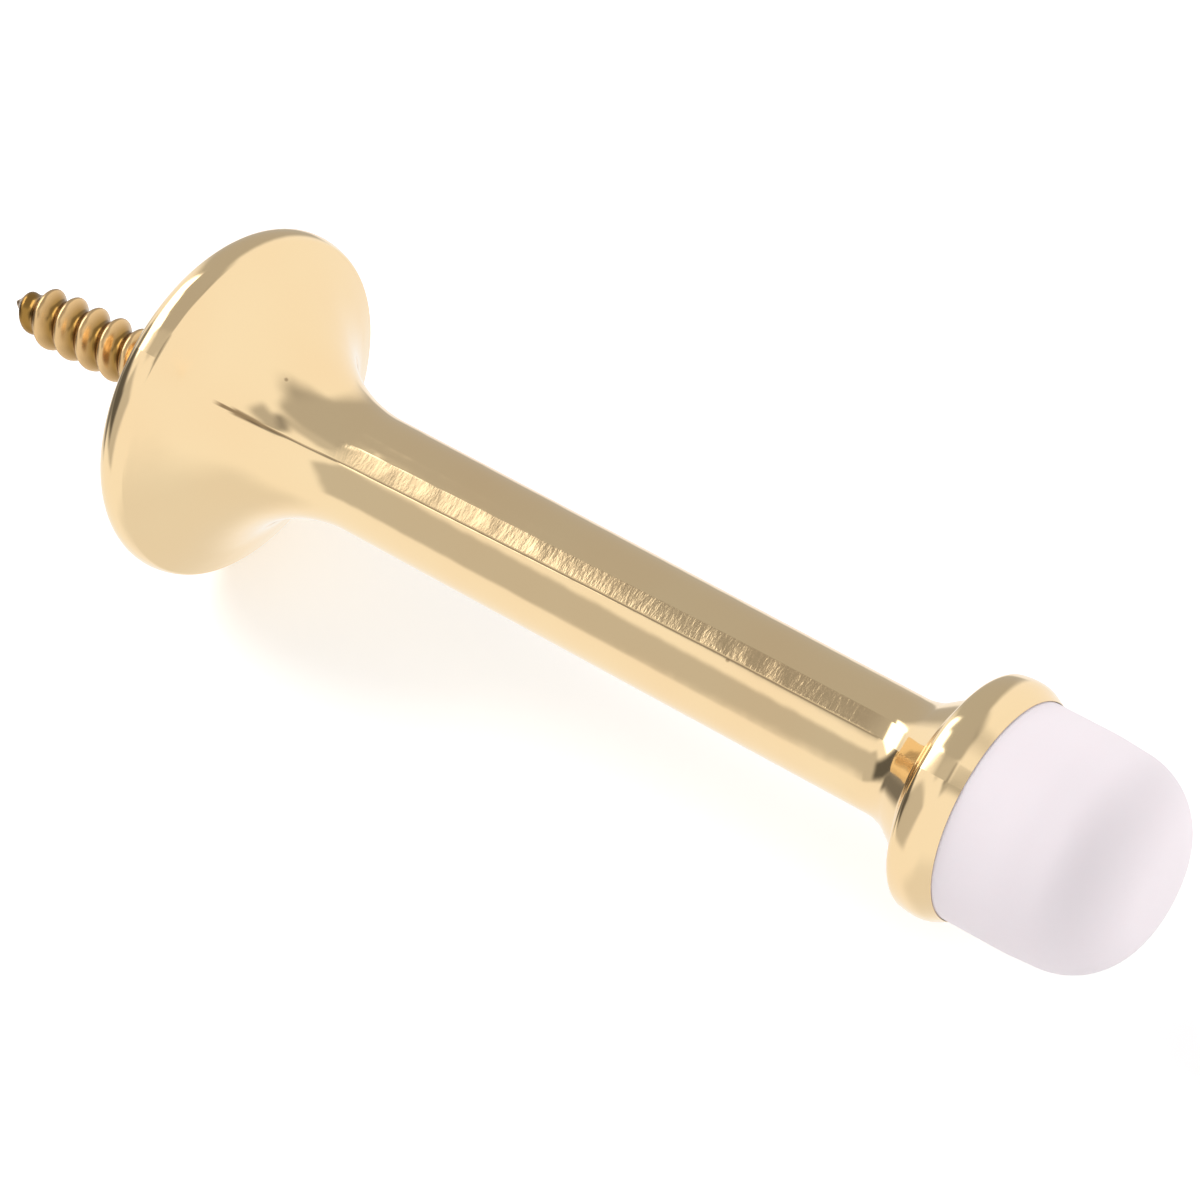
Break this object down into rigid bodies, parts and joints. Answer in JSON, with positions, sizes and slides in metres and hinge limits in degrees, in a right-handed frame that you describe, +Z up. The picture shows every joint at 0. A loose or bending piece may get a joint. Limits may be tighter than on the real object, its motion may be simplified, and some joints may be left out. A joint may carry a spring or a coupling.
{
  "type": "rigid door stop",
  "caption": "Rigid wall-mounted door stop with a round flared flange, straight shank, ringed collar, soft domed tip and a wood screw.",
  "frame": {"origin": "centre of the flange's back, on the wall's face", "axes": "+Y into the wall along the stop's axis and the wood screw; the soft tip is towards -Y; +Z is up"},
  "size_m": [0.0254, 0.0953, 0.0254],
  "materials": {
    "plated_body": "bright brass plating over a polished zinc casting",
    "tip_rubber": "soft matte white",
    "plated_screw": "brass plating over rolled steel"
  },
  "bodies": {
    "root": {"cast_body": "plated_body", "rubber_tip": "tip_rubber", "wood_screw": "plated_screw"}
  },
  "joints": []
}
